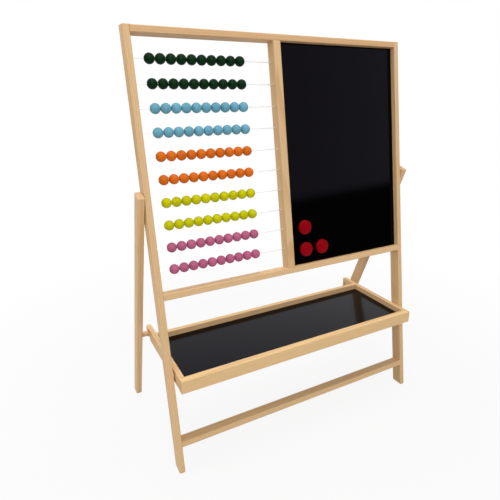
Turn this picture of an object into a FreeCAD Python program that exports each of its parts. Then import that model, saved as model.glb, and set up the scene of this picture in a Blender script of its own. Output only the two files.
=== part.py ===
import FreeCAD, Part
import math
import os
import re
from collections import namedtuple
import Sketcher
from FreeCAD import Placement, Rotation, Vector

# Kids easel with an abacus, a black magnetic board and a tray, in millimetres.
# +Z is up, +X is to the right of a child in front of it, and +Y runs back.
# The origin is on the floor, at the middle of the footprint.
#
# The front frame is drawn upright, with Y as depth behind its front faces and Z as
# the distance along its stiles, and then leans back by lean_angle. Each rear leg is
# drawn upright about its pivot and then turned by leg_angle. The tray is level, and
# its Y starts at the front edge of the stiles' feet, as the frame's does.

SIZES = [
    # front frame
    ("frame_width", 785.0, "outside width over the stiles"),
    ("frame_height", 1050.0, "height of the frame's front top edge"),
    ("lean_angle", 10.2, "lean of the front frame, degrees from upright"),
    ("stile_width", 15.0, "front face of an outer stile"),
    ("stile_depth", 34.0, "side face of an outer stile"),
    ("rail_depth", 31.0, "depth of the rails and the middle stile"),
    ("rail_height", 16.0, "height of the mid and bottom rails"),
    ("top_rail_height", 15.0, "height of the top rail"),
    ("mid_rail_level", 457.0, "underside of the mid rail, along the stile"),
    ("bottom_rail_level", 69.0, "underside of the bottom rail, along the stile"),
    ("middle_stile_width", 21.0, "front face of the middle stile"),
    ("middle_stile_shift", 16.3, "middle stile's distance left of centre"),
    ("edge_round", 2.0, "radius on the long edges of the timber"),
    # joints in the timber
    ("dowel_diameter", 6.0, "hidden dowels"),
    ("dowel_socket", 10.0, "dowel hole in the piece that carries"),
    ("dowel_tenon", 14.0, "dowel hole in the end of a rail"),
    ("dowel_inset", 8.0, "dowel's distance from the rail's front or back"),
    ("tray_dowel_inset", 7.5, "dowel's distance from the tray rail's edge"),
    ("end_play", 0.5, "space past the end of a dowel, pin or panel"),
    ("hole_play", 0.05, "radial play of a fixed or turning pin in its hole"),
    ("panel_play", 0.1, "play on each face of a panel in its groove"),
    ("side_play", 0.3, "gap beside a piece that moves"),
    # board
    ("board_recess", 15.0, "board's face behind the frame's front"),
    ("steel_thickness", 0.6, "black steel face"),
    ("core_thickness", 3.0, "fibreboard behind the steel"),
    ("groove_depth", 5.0, "grooves round the board"),
    # abacus
    ("wire_diameter", 2.4, "abacus wires"),
    ("insert_wall", 1.5, "stile's wood between a wire and the threaded insert"),
    ("row_drop", 48.6, "first wire below the top rail"),
    ("row_pitch", 53.0, "from wire to wire"),
    ("row_count", 10, "wires"),
    ("bead_diameter", 24.6, "beads"),
    ("bead_pitch", 24.7, "from bead to bead in a pushed-up row"),
    ("bead_count", 10, "beads on a wire"),
    ("bead_slack", 0.3, "radial play of a bead on its wire"),
    ("bead_start", 26.2, "free wire left of the first bead"),
    # rear legs
    ("leg_angle", 19.9, "rear leg's angle from upright"),
    ("leg_width", 16.0, "front face of a rear leg"),
    ("leg_depth", 31.0, "side face of a rear leg"),
    ("leg_gap", 1.3, "between a stile and its rear leg"),
    ("leg_pivot_along", 686.8, "leg pivot, along the stile"),
    ("leg_overhang", 25.6, "leg's end above its pivot"),
    ("leg_peg_along", 447.0, "from the leg's pivot down to its peg"),
    ("peg_diameter", 15.0, "peg that the tray's arm hooks on"),
    ("peg_socket", 10.0, "peg's hole in the leg"),
    ("peg_short", 2.0, "peg's end short of the arm's inner face"),
    # leg pivot hardware
    ("insert_diameter", 9.0, "threaded insert in the stile"),
    ("thread_diameter", 6.0, "thread of the pivot bolt"),
    ("shoulder_diameter", 8.0, "shoulder that the leg turns on"),
    ("head_diameter", 13.0, "pivot bolt's head"),
    ("head_thickness", 4.0, "pivot bolt's head"),
    ("key_radius", 2.9, "corner radius of the hexagon socket"),
    ("key_depth", 2.0, "depth of the hexagon socket"),
    ("counterbore_diameter", 15.0, "counterbore that hides the head"),
    ("counterbore_depth", 8.0, "counterbore that hides the head"),
    ("plug_thickness", 3.0, "wood plug over the head"),
    ("washer_diameter", 18.0, "washer between the stile and the leg"),
    ("washer_thickness", 1.0, "washer between the stile and the leg"),
    # tray
    ("tray_width", 747.0, "outside width of the tray"),
    ("tray_bottom", 236.4, "height of the tray's underside"),
    ("tray_front", 1.2, "tray's front behind the stiles' front feet"),
    ("tray_depth", 250.0, "front of the front rail to back of the rear rail"),
    ("tray_rail_height", 36.0, "height of all the tray's rails"),
    ("tray_front_thickness", 18.0, "front rail"),
    ("tray_rail_thickness", 14.0, "rear and side rails"),
    ("tray_panel_thickness", 4.0, "black base panel"),
    ("tray_panel_drop", 17.0, "base panel's face below the rails' top"),
    ("tray_groove", 4.0, "grooves round the base panel"),
    ("hook_wall", 5.5, "arm's wood behind the peg"),
    ("hook_slope", 40.0, "slope of the hook's front wall, degrees from upright"),
    # tray pivot hardware
    ("tray_pin_diameter", 8.0, "pin that the tray turns on"),
    ("tray_pin_socket", 10.0, "pin's hole in the stile"),
    ("tray_pin_reach", 8.0, "pin's hole in the side rail"),
    ("tray_spacer_diameter", 16.0, "ring between the stile and the side rail"),
    # magnets
    ("magnet_diameter", 40.0, "red cap"),
    ("magnet_thickness", 9.0, "red cap"),
    ("magnet_round", 3.0, "radius round the cap's face"),
    ("magnet_lift", 0.2, "between the board and a magnet"),
    ("disc_diameter", 30.0, "magnet disc inside the cap"),
    ("disc_thickness", 5.0, "magnet disc inside the cap"),
    ("magnet_near", 41.8, "magnets nearer the middle stile, right of centre"),
    ("magnet_far", 96.0, "magnet further right"),
    ("magnet_low", 513.5, "lower magnets, along the stile"),
    ("magnet_high", 575.4, "upper magnet, along the stile"),
]
SHEET = "Dims"

HALF = "(frame_width / 2)"
INNER = "(frame_width / 2 - stile_width)"
FRAME_TOP = "(frame_height / cos(lean_angle))"
TOP_RAIL_UNDER = f"({FRAME_TOP} - top_rail_height)"
MID_RAIL_TOP = "(mid_rail_level + rail_height)"
MIDDLE_LEFT = "(-middle_stile_shift - middle_stile_width / 2)"
MIDDLE_RIGHT = "(middle_stile_width / 2 - middle_stile_shift)"
STILE_MIDDLE = "(stile_depth / 2)"
INSERT_LENGTH = "(stile_width / 2)"
WIRE_SOCKET = f"({INSERT_LENGTH} - insert_wall)"
RAIL_MIDDLE = "(rail_depth / 2)"
BOARD_BACK = "(board_recess + steel_thickness + core_thickness)"

PIVOT_Y = f"(leg_pivot_along * sin(lean_angle) + {STILE_MIDDLE} * cos(lean_angle))"
PIVOT_Z = f"(leg_pivot_along * cos(lean_angle) - {STILE_MIDDLE} * sin(lean_angle))"
FOOT_BACK = f"({PIVOT_Y} + {PIVOT_Z} * tan(leg_angle) + leg_depth / 2 / cos(leg_angle))"
ORIGIN_Y = f"(-{FOOT_BACK} / 2)"
PEG_Y = f"({PIVOT_Y} + leg_peg_along * sin(leg_angle))"
PEG_Z = f"({PIVOT_Z} - leg_peg_along * cos(leg_angle))"
LEG_FACE = "(frame_width / 2 + leg_gap)"
LEG_OUTSIDE = "(frame_width / 2 + leg_gap + leg_width)"

TRAY_HALF = "(tray_width / 2)"
TRAY_INNER = "(tray_width / 2 - tray_rail_thickness)"
TRAY_TOP = "(tray_bottom + tray_rail_height)"
FRONT_INNER = "(tray_front + tray_front_thickness)"
REAR_INNER = "(tray_front + tray_depth - tray_rail_thickness)"
REAR_OUTSIDE = "(tray_front + tray_depth)"
PANEL_TOP = f"({TRAY_TOP} - tray_panel_drop)"
PANEL_UNDER = f"({TRAY_TOP} - tray_panel_drop - tray_panel_thickness)"
TRAY_PIVOT_Z = "(tray_bottom + tray_rail_height / 2)"
TRAY_PIVOT_Y = f"({TRAY_PIVOT_Z} * tan(lean_angle) + {STILE_MIDDLE} / cos(lean_angle))"
TRAY_PIVOT_ALONG = f"({TRAY_PIVOT_Y} * sin(lean_angle) + {TRAY_PIVOT_Z} * cos(lean_angle))"
HOOK_RADIUS = "(peg_diameter / 2 + side_play)"
ARM_END = f"({PEG_Y} + {HOOK_RADIUS} + hook_wall)"

Place = namedtuple("Place", "turn y z")
FRAME = Place("-lean_angle", ORIGIN_Y, "0")
LEG = Place("leg_angle", f"{ORIGIN_Y} + {PIVOT_Y}", PIVOT_Z)
TRAY = Place("0", ORIGIN_Y, "0")

Flat = namedtuple("Flat", "plane level")
NORMAL_SENSE = {"YZ_Plane": 1, "XZ_Plane": -1, "XY_Plane": 1}
AXES = {"X": Vector(1, 0, 0), "Y": Vector(0, 1, 0), "Z": Vector(0, 0, 1)}
SIDES = [(-1, "left"), (1, "right")]

doc = FreeCAD.newDocument("KidsEasel")
sheet = doc.addObject("Spreadsheet::Sheet", SHEET)
scratch = doc.addObject("Spreadsheet::Sheet", "Scratch")


def fill_sheet():
    """Write each size, its name and what it measures into the spreadsheet."""
    for row, (name, value, note) in enumerate(SIZES, start=1):
        sheet.set(f"A{row}", name)
        sheet.set(f"B{row}", str(value))
        sheet.set(f"C{row}", note)
        sheet.setAlias(f"B{row}", name)
    doc.recompute()


def formula(text):
    """Point each size named in the text at its cell: every size has a _ in its name."""
    return re.sub(r"\b[a-z]+(?:_[a-z]+)+\b", lambda found: f"{SHEET}.{found.group(0)}", text)


def value(text):
    """Work out a formula as a plain number, in the one cell of the scratch sheet."""
    scratch.set("A1", f"={formula(text)}")
    scratch.recompute()
    return float(scratch.get("A1"))


def new_body(name, place):
    """Make a named body, turned about X and moved to its place."""
    body = doc.addObject("PartDesign::Body", name)
    body.Label = name
    body.AllowCompound = True
    body.Placement = Placement(Vector(), Rotation(AXES["X"], 1))
    body.setExpression("Placement.Rotation.Angle", formula(place.turn))
    body.setExpression("Placement.Base.y", formula(place.y))
    body.setExpression("Placement.Base.z", formula(place.z))
    return body


def origin_feature(body, role):
    return next(item for item in body.Origin.OriginFeatures if item.Role == role)


def new_sketch(body, name, flat):
    """Make a sketch on a plane of the body, moved to a level along the plane's axis."""
    sketch = body.newObject("Sketcher::SketchObject", name)
    sketch.AttachmentSupport = [(origin_feature(body, flat.plane), "")]
    sketch.MapMode = "FlatFace"
    offset = f"{NORMAL_SENSE[flat.plane]} * ({flat.level})"
    sketch.setExpression("AttachmentOffset.Base.z", formula(offset))
    return sketch


def bind(sketch, constraint, text):
    """Add a constraint whose size follows a formula."""
    number = sketch.addConstraint(constraint)
    sketch.setExpression(f"Constraints[{number}]", formula(text))


def pin_point(sketch, geometry, point, across, upward):
    """Tie a point of the sketch to its formulas across and upward from the origin."""
    for kind, text in (("DistanceX", across), ("DistanceY", upward)):
        bind(sketch, Sketcher.Constraint(kind, -1, 1, geometry, point, value(text)), text)


def draw_corners(sketch, corners):
    """Draw a closed outline of straight lines through the corners."""
    points = [Vector(value(across), value(upward), 0) for across, upward in corners]
    count = len(points)
    for index in range(count):
        sketch.addGeometry(Part.LineSegment(points[index], points[(index + 1) % count]))
    for index in range(count):
        sketch.addConstraint(
            Sketcher.Constraint("Coincident", index, 2, (index + 1) % count, 1))
    for index, (across, upward) in enumerate(corners):
        pin_point(sketch, index, 1, across, upward)


def draw_circles(sketch, centres, diameter):
    """Draw a circle of one diameter on each centre."""
    for index, (across, upward) in enumerate(centres):
        centre = Vector(value(across), value(upward), 0)
        sketch.addGeometry(Part.Circle(centre, AXES["Z"], value(diameter) / 2))
        pin_point(sketch, index, 3, across, upward)
        bind(sketch, Sketcher.Constraint("Diameter", index, value(diameter)), diameter)


def extrude(body, kind, sketch, length, sense):
    """Pad or pocket a sketch by a length, up or down the axis of its plane."""
    feature = body.newObject(f"PartDesign::{kind}", f"{sketch.Name}_{kind}")
    feature.Profile = sketch
    feature.setExpression("Length", formula(length))
    plane = sketch.AttachmentSupport[0][0].Role
    along_normal = sense * NORMAL_SENSE[plane] > 0
    feature.Reversed = along_normal if kind == "Pocket" else not along_normal
    sketch.Visibility = False
    return feature


def solid(body, name, flat, corners, length, sense=1):
    """Add a prism with this outline."""
    sketch = new_sketch(body, name, flat)
    draw_corners(sketch, corners)
    return extrude(body, "Pad", sketch, length, sense)


def cut(body, name, flat, corners, length, sense):
    """Cut a prism with this outline."""
    sketch = new_sketch(body, name, flat)
    draw_corners(sketch, corners)
    return extrude(body, "Pocket", sketch, length, sense)


def rods(body, name, flat, centres, diameter, length, sense):
    """Add a round rod on each centre."""
    sketch = new_sketch(body, name, flat)
    draw_circles(sketch, centres, diameter)
    return extrude(body, "Pad", sketch, length, sense)


def holes(body, name, flat, centres, diameter, length, sense):
    """Drill a round hole on each centre."""
    sketch = new_sketch(body, name, flat)
    draw_circles(sketch, centres, diameter)
    return extrude(body, "Pocket", sketch, length, sense)


def box_corners(low_across, high_across, low_up, high_up):
    return [(low_across, low_up), (high_across, low_up),
            (high_across, high_up), (low_across, high_up)]


def ease(body, axis):
    """Round the straight edges that run along one axis of the piece."""
    doc.recompute()
    tip = body.Tip
    names = []
    for number, edge in enumerate(tip.Shape.Edges, start=1):
        straight = isinstance(edge.Curve, Part.Line)
        if straight and abs(edge.Curve.Direction.dot(AXES[axis])) > 0.999:
            names.append(f"Edge{number}")
    fillet = body.newObject("PartDesign::Fillet", f"{body.Name}_eased")
    fillet.Base = (tip, names)
    fillet.setExpression("Radius", formula("edge_round"))


def level_x(side, text):
    """A level along X on the left (-1) or right (1) side."""
    return Flat("YZ_Plane", f"{side} * {text}")


def loose(diameter):
    """The diameter of the hole for a pin."""
    return f"({diameter} + 2 * hole_play)"


# ---- front frame -------------------------------------------------------------

RAIL_LEVELS = [
    ("top_rail", TOP_RAIL_UNDER, "top_rail_height"),
    ("mid_rail", "mid_rail_level", "rail_height"),
    ("bottom_rail", "bottom_rail_level", "rail_height"),
]
DOWEL_DEPTHS = ["dowel_inset", "(rail_depth - dowel_inset)"]
BOARD_GROOVE = ("(board_recess - panel_play)", f"({BOARD_BACK} + panel_play)")
DOWEL_LENGTH = "dowel_socket + dowel_tenon - 2 * end_play"


def rail_dowels(low, height):
    """The two dowel centres in the end of a rail."""
    return [(depth, f"({low} + {height} / 2)") for depth in DOWEL_DEPTHS]


def row_level(row):
    """The height of an abacus wire, along the stiles, with row 0 at the top."""
    return f"({TOP_RAIL_UNDER} - row_drop - {row} * row_pitch)"


def wire_centres():
    return [(RAIL_MIDDLE, row_level(row)) for row in range(int(value("row_count")))]


def outer_stile(side, name):
    """A stile, cut level at its foot and its top, with the holes for all it carries."""
    body = new_body(f"{name}_stile", FRAME)
    end_rise = "stile_depth * tan(lean_angle)"
    corners = [("0", "0"), ("stile_depth", end_rise),
               ("stile_depth", f"({FRAME_TOP} + {end_rise})"), ("0", FRAME_TOP)]
    solid(body, f"{name}_stile_side", level_x(side, INNER), corners, "stile_width", side)
    ease(body, "Z")
    inner = level_x(side, INNER)
    centres = [spot for _, low, height in RAIL_LEVELS for spot in rail_dowels(low, height)]
    holes(body, f"{name}_stile_dowels", inner, centres, loose("dowel_diameter"),
          "dowel_socket", side)
    holes(body, f"{name}_stile_tray_pin", inner, [(STILE_MIDDLE, TRAY_PIVOT_ALONG)],
          loose("tray_pin_diameter"), "tray_pin_socket", side)
    holes(body, f"{name}_stile_insert", level_x(side, HALF),
          [(STILE_MIDDLE, "leg_pivot_along")], loose("insert_diameter"),
          INSERT_LENGTH, -side)
    return body


def stiles():
    left = outer_stile(-1, "left")
    holes(left, "left_stile_wires", level_x(-1, INNER), wire_centres(),
          loose("wire_diameter"), WIRE_SOCKET, -1)
    right = outer_stile(1, "right")
    groove = box_corners(*BOARD_GROOVE, f"({MID_RAIL_TOP} - groove_depth)",
                         f"({TOP_RAIL_UNDER} + groove_depth)")
    cut(right, "right_stile_groove", level_x(1, INNER), groove, "groove_depth", 1)


def frame_rail(name, low, height):
    """A rail between the outer stiles, drilled at both ends for its dowels. The top
    rail's upper face is planed level, in line with the tops of the stiles."""
    body = new_body(name, FRAME)
    rise = "rail_depth * tan(lean_angle)" if name == "top_rail" else "0"
    corners = [("0", low), ("rail_depth", low),
               ("rail_depth", f"({low} + {height} + {rise})"), ("0", f"({low} + {height})")]
    solid(body, f"{name}_end", level_x(-1, INNER), corners, f"2 * {INNER}")
    ease(body, "X")
    for side, side_name in SIDES:
        holes(body, f"{name}_{side_name}_dowels", level_x(side, INNER),
              rail_dowels(low, height), loose("dowel_diameter"), "dowel_tenon", -side)
    return body


def middle_dowels():
    """The two dowel centres, seen from above, in an end of the middle stile."""
    return [("-middle_stile_shift", depth) for depth in DOWEL_DEPTHS]


def rails():
    bodies = {name: frame_rail(name, low, height) for name, low, height in RAIL_LEVELS}
    under = Flat("XY_Plane", TOP_RAIL_UNDER)
    over = Flat("XY_Plane", MID_RAIL_TOP)
    groove_start = Flat("YZ_Plane", f"({MIDDLE_RIGHT} - groove_depth)")
    groove_length = f"{INNER} - {MIDDLE_RIGHT} + groove_depth"
    for name, flat, sense in (("top_rail", under, 1), ("mid_rail", over, -1)):
        body = bodies[name]
        holes(body, f"{name}_middle_dowels", flat, middle_dowels(),
              loose("dowel_diameter"), "dowel_socket", sense)
        deep = f"({flat.level} + {sense} * groove_depth)"
        low, high = (flat.level, deep) if sense > 0 else (deep, flat.level)
        cut(body, f"{name}_groove", groove_start, box_corners(*BOARD_GROOVE, low, high),
            groove_length, 1)


def middle_stile():
    """The stile between the abacus and the board."""
    body = new_body("middle_stile", FRAME)
    corners = box_corners("0", "rail_depth", MID_RAIL_TOP, TOP_RAIL_UNDER)
    solid(body, "middle_stile_side", Flat("YZ_Plane", MIDDLE_LEFT), corners,
          "middle_stile_width")
    ease(body, "Z")
    for name, level, sense in (("top", TOP_RAIL_UNDER, -1), ("foot", MID_RAIL_TOP, 1)):
        holes(body, f"middle_stile_{name}_dowels", Flat("XY_Plane", level),
              middle_dowels(), loose("dowel_diameter"), "dowel_tenon", sense)
    holes(body, "middle_stile_wires", Flat("YZ_Plane", MIDDLE_LEFT), wire_centres(),
          loose("wire_diameter"), WIRE_SOCKET, 1)
    groove = box_corners(*BOARD_GROOVE, MID_RAIL_TOP, TOP_RAIL_UNDER)
    cut(body, "middle_stile_groove", Flat("YZ_Plane", MIDDLE_RIGHT), groove,
        "groove_depth", -1)


def frame_dowels():
    """All the dowels of the front frame, a group of loose solids."""
    body = new_body("frame_dowels", FRAME)
    for name, low, height in RAIL_LEVELS:
        for side, side_name in SIDES:
            start = level_x(side, f"({INNER} - dowel_tenon + end_play)")
            rods(body, f"dowels_{name}_{side_name}", start, rail_dowels(low, height),
                 "dowel_diameter", DOWEL_LENGTH, side)
    for name, level, sense in (("top", TOP_RAIL_UNDER, 1), ("foot", MID_RAIL_TOP, -1)):
        start = Flat("XY_Plane", f"({level} - {sense} * (dowel_tenon - end_play))")
        rods(body, f"dowels_middle_{name}", start, middle_dowels(), "dowel_diameter",
             DOWEL_LENGTH, sense)


def board():
    """The steel face and its core, both let into the grooves round them."""
    reach = "(groove_depth - end_play)"
    left = Flat("YZ_Plane", f"({MIDDLE_RIGHT} - {reach})")
    width = f"{INNER} - {MIDDLE_RIGHT} + 2 * {reach}"
    steel_back = "(board_recess + steel_thickness)"
    layers = [("board_steel_face", "board_recess", steel_back),
              ("board_core", steel_back, BOARD_BACK)]
    for name, front, back in layers:
        body = new_body(name, FRAME)
        corners = box_corners(front, back, f"({MID_RAIL_TOP} - {reach})",
                              f"({TOP_RAIL_UNDER} + {reach})")
        solid(body, f"{name}_edge", left, corners, width)


# ---- abacus ------------------------------------------------------------------

def abacus_wire(row, number):
    body = new_body(f"abacus_wire_{number:02d}", FRAME)
    start = level_x(-1, f"({INNER} + {WIRE_SOCKET} - end_play)")
    length = f"{MIDDLE_LEFT} + {INNER} + 2 * ({WIRE_SOCKET} - end_play)"
    rods(body, f"wire_{number:02d}_end", start, [(RAIL_MIDDLE, row_level(row))],
         "wire_diameter", length, 1)


def draw_bead(sketch):
    """Draw half a drilled bead, to be turned about the sketch's horizontal axis."""
    radius, bore = "bead_diameter / 2", "wire_diameter / 2 + bead_slack"
    end_angle = math.asin(value(bore) / value(radius))
    half = value(radius) * math.cos(end_angle)
    sketch.addGeometry(Part.LineSegment(Vector(-half, value(bore), 0),
                                        Vector(half, value(bore), 0)))
    circle = Part.Circle(Vector(), AXES["Z"], value(radius))
    sketch.addGeometry(Part.ArcOfCircle(circle, end_angle, math.pi - end_angle))
    sketch.addConstraint([
        Sketcher.Constraint("Coincident", 0, 2, 1, 1),
        Sketcher.Constraint("Coincident", 0, 1, 1, 2),
        Sketcher.Constraint("Coincident", 1, 3, -1, 1),
        Sketcher.Constraint("Horizontal", 0)])
    height = Sketcher.Constraint("DistanceY", -1, 1, 0, 1, value(bore))
    bind(sketch, height, bore)
    bind(sketch, Sketcher.Constraint("Radius", 1, value(radius)), radius)


def bead_row(row, number):
    """A row of drilled beads, each a solid of its own, pushed up together."""
    body = new_body(f"bead_row_{number:02d}", FRAME)
    sketch = new_sketch(body, f"bead_{number:02d}", Flat("XZ_Plane", RAIL_MIDDLE))
    first = f"bead_start - {INNER} + bead_diameter / 2"
    sketch.setExpression("AttachmentOffset.Base.x", formula(first))
    sketch.setExpression("AttachmentOffset.Base.y", formula(row_level(row)))
    draw_bead(sketch)
    bead = body.newObject("PartDesign::Revolution", f"bead_{number:02d}_turned")
    bead.Profile = sketch
    bead.ReferenceAxis = (sketch, ["H_Axis"])
    sketch.Visibility = False
    doc.recompute()
    pattern = body.newObject("PartDesign::LinearPattern", f"beads_{number:02d}")
    pattern.Originals = [bead]
    pattern.Direction = (sketch, ["H_Axis"])
    pattern.setExpression("Length", formula("bead_pitch * (bead_count - 1)"))
    pattern.setExpression("Occurrences", formula("bead_count"))
    body.Tip = pattern


def abacus():
    for row in range(int(value("row_count"))):
        abacus_wire(row, row + 1)
        bead_row(row, row + 1)


# ---- rear legs ---------------------------------------------------------------

PIVOT = [("0", "0")]
LEG_PEG = [("0", "-leg_peg_along")]


def foot_drop(depth):
    """How far below the pivot, along the leg, the floor lies at a depth in the leg."""
    return f"(-({PIVOT_Z} + {depth} * sin(leg_angle)) / cos(leg_angle))"


def rear_leg(side, name):
    """A rear leg, cut level at the floor and square at its top."""
    body = new_body(f"{name}_rear_leg", LEG)
    front, back = "(-leg_depth / 2)", "(leg_depth / 2)"
    corners = [(front, foot_drop(front)), (back, foot_drop(back)),
               (back, "leg_overhang"), (front, "leg_overhang")]
    face = level_x(side, LEG_FACE)
    solid(body, f"{name}_leg_side", face, corners, "leg_width", side)
    ease(body, "Z")
    holes(body, f"{name}_leg_bore", face, PIVOT, loose("shoulder_diameter"),
          "leg_width", side)
    holes(body, f"{name}_leg_counterbore", level_x(side, LEG_OUTSIDE), PIVOT,
          "counterbore_diameter", "counterbore_depth", -side)
    holes(body, f"{name}_leg_peg_hole", face, LEG_PEG, loose("peg_diameter"),
          "peg_socket", side)


def leg_fittings(side, name):
    """The peg that carries the tray's arm, and the plug over the pivot bolt."""
    peg = new_body(f"{name}_tray_peg", LEG)
    reach = f"{LEG_FACE} + peg_socket - end_play - {TRAY_INNER} - peg_short"
    rods(peg, f"{name}_peg_end", level_x(side, f"({TRAY_INNER} + peg_short)"), LEG_PEG,
         "peg_diameter", reach, side)
    plug = new_body(f"{name}_leg_plug", LEG)
    rods(plug, f"{name}_plug_face", level_x(side, LEG_OUTSIDE), PIVOT,
         "counterbore_diameter - 2 * hole_play", "plug_thickness", -side)


def leg_pivots():
    """The inserts, washers and shoulder bolts that carry the rear legs."""
    centre = [(STILE_MIDDLE, "leg_pivot_along")]
    inserts = new_body("leg_pivot_inserts", FRAME)
    washers = new_body("leg_pivot_washers", FRAME)
    bolts = new_body("leg_pivot_bolts", FRAME)
    web = "(leg_gap + leg_width - counterbore_depth + side_play)"
    key = [(f"({STILE_MIDDLE} + key_radius * cos({60 * corner}))",
            f"(leg_pivot_along + key_radius * sin({60 * corner}))") for corner in range(6)]
    for side, name in SIDES:
        outside = level_x(side, HALF)
        rods(inserts, f"insert_{name}", outside, centre, "insert_diameter",
             INSERT_LENGTH, -side)
        rods(washers, f"washer_{name}", outside, centre, "washer_diameter",
             "washer_thickness", side)
        rods(bolts, f"thread_{name}", outside, centre, "thread_diameter",
             f"{INSERT_LENGTH} - end_play", -side)
        rods(bolts, f"shoulder_{name}", outside, centre, "shoulder_diameter", web, side)
        head = level_x(side, f"({HALF} + {web})")
        rods(bolts, f"head_{name}", head, centre, "head_diameter", "head_thickness", side)
    for side, name in SIDES:
        outside = level_x(side, HALF)
        holes(inserts, f"insert_bore_{name}", outside, centre, loose("thread_diameter"),
              INSERT_LENGTH, -side)
        holes(washers, f"washer_bore_{name}", outside, centre, loose("shoulder_diameter"),
              "washer_thickness", side)
        top = level_x(side, f"({HALF} + {web} + head_thickness)")
        cut(bolts, f"key_{name}", top, key, "key_depth", -side)


def rear_legs():
    for side, name in SIDES:
        rear_leg(side, name)
        leg_fittings(side, name)
    leg_pivots()


# ---- tray --------------------------------------------------------------------

TRAY_DOWEL_LEVELS = ["(tray_bottom + tray_dowel_inset)",
                     "(tray_bottom + tray_rail_height - tray_dowel_inset)"]
REAR_DOWELS = [(f"({REAR_INNER} + tray_rail_thickness / 2)", level)
               for level in TRAY_DOWEL_LEVELS]
PANEL_GROOVE = (f"({PANEL_UNDER} - panel_play)", f"({PANEL_TOP} + panel_play)")
FRONT_SEAM = Flat("XZ_Plane", FRONT_INNER)


def front_dowels(side):
    """The two dowel centres, seen from the front, where a side rail meets the front."""
    return [(f"{side} * ({TRAY_HALF} - tray_rail_thickness / 2)", level)
            for level in TRAY_DOWEL_LEVELS]


def tray_cross_rails():
    """The front rail, over the ends of the side rails, and the rear rail between them."""
    front = new_body("tray_front_rail", TRAY)
    corners = box_corners("tray_front", FRONT_INNER, "tray_bottom", TRAY_TOP)
    solid(front, "tray_front_end", level_x(-1, TRAY_HALF), corners, "tray_width")
    ease(front, "X")
    rear = new_body("tray_rear_rail", TRAY)
    corners = box_corners(REAR_INNER, REAR_OUTSIDE, "tray_bottom", TRAY_TOP)
    solid(rear, "tray_rear_end", level_x(-1, TRAY_INNER), corners, f"2 * {TRAY_INNER}")
    ease(rear, "X")
    for side, name in SIDES:
        holes(front, f"tray_front_{name}_dowels", FRONT_SEAM, front_dowels(side),
              loose("dowel_diameter"), "dowel_socket", -1)
        holes(rear, f"tray_rear_{name}_dowels", level_x(side, TRAY_INNER), REAR_DOWELS,
              loose("dowel_diameter"), "dowel_tenon", -side)
    groove = box_corners(f"({FRONT_INNER} - tray_groove)", FRONT_INNER, *PANEL_GROOVE)
    cut(front, "tray_front_groove", level_x(-1, f"({TRAY_INNER} + tray_groove)"), groove,
        f"2 * ({TRAY_INNER} + tray_groove)", 1)
    groove = box_corners(REAR_INNER, f"({REAR_INNER} + tray_groove)", *PANEL_GROOVE)
    cut(rear, "tray_rear_groove", level_x(-1, TRAY_INNER), groove, f"2 * {TRAY_INNER}", 1)


def hook_mouth():
    """The open part of a hook: an upright wall behind the peg and a sloped one ahead."""
    ahead = f"({PEG_Y} - {HOOK_RADIUS} * cos(hook_slope))"
    ahead_up = f"({PEG_Z} + {HOOK_RADIUS} * sin(hook_slope))"
    ahead_foot = f"({ahead} - ({ahead_up} - tray_bottom) * tan(hook_slope))"
    behind = f"({PEG_Y} + {HOOK_RADIUS})"
    return [(ahead, ahead_up), (ahead_foot, "tray_bottom"), (behind, "tray_bottom"),
            (behind, PEG_Z)]


def side_rail(side, name):
    """A side rail, which runs on past the rear rail as an arm and hooks on its peg."""
    body = new_body(f"tray_{name}_rail", TRAY)
    corners = box_corners(FRONT_INNER, ARM_END, "tray_bottom", TRAY_TOP)
    inner, outer = level_x(side, TRAY_INNER), level_x(side, TRAY_HALF)
    solid(body, f"tray_{name}_side", inner, corners, "tray_rail_thickness", side)
    ease(body, "Y")
    holes(body, f"tray_{name}_hook", inner, [(PEG_Y, PEG_Z)], f"2 * {HOOK_RADIUS}",
          "tray_rail_thickness", side)
    cut(body, f"tray_{name}_mouth", inner, hook_mouth(), "tray_rail_thickness", side)
    holes(body, f"tray_{name}_front_dowels", FRONT_SEAM, front_dowels(side),
          loose("dowel_diameter"), "dowel_tenon", 1)
    holes(body, f"tray_{name}_rear_dowels", inner, REAR_DOWELS, loose("dowel_diameter"),
          "dowel_socket", side)
    holes(body, f"tray_{name}_pin_hole", outer, [(TRAY_PIVOT_Y, TRAY_PIVOT_Z)],
          loose("tray_pin_diameter"), "tray_pin_reach", -side)
    groove = box_corners(FRONT_INNER, f"({REAR_INNER} + tray_groove)", *PANEL_GROOVE)
    cut(body, f"tray_{name}_groove", inner, groove, "tray_groove", side)


def tray_panel():
    body = new_body("tray_panel", TRAY)
    reach = "(tray_groove - end_play)"
    corners = box_corners(f"({FRONT_INNER} - {reach})", f"({REAR_INNER} + {reach})",
                          PANEL_UNDER, PANEL_TOP)
    solid(body, "tray_panel_edge", level_x(-1, f"({TRAY_INNER} + {reach})"), corners,
          f"2 * ({TRAY_INNER} + {reach})")


def tray_dowels():
    body = new_body("tray_dowels", TRAY)
    for side, name in SIDES:
        start = Flat("XZ_Plane", f"({FRONT_INNER} - dowel_socket + end_play)")
        rods(body, f"tray_dowels_front_{name}", start, front_dowels(side),
             "dowel_diameter", DOWEL_LENGTH, 1)
        start = level_x(side, f"({TRAY_INNER} - dowel_tenon + end_play)")
        rods(body, f"tray_dowels_rear_{name}", start, REAR_DOWELS, "dowel_diameter",
             DOWEL_LENGTH, side)


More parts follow.
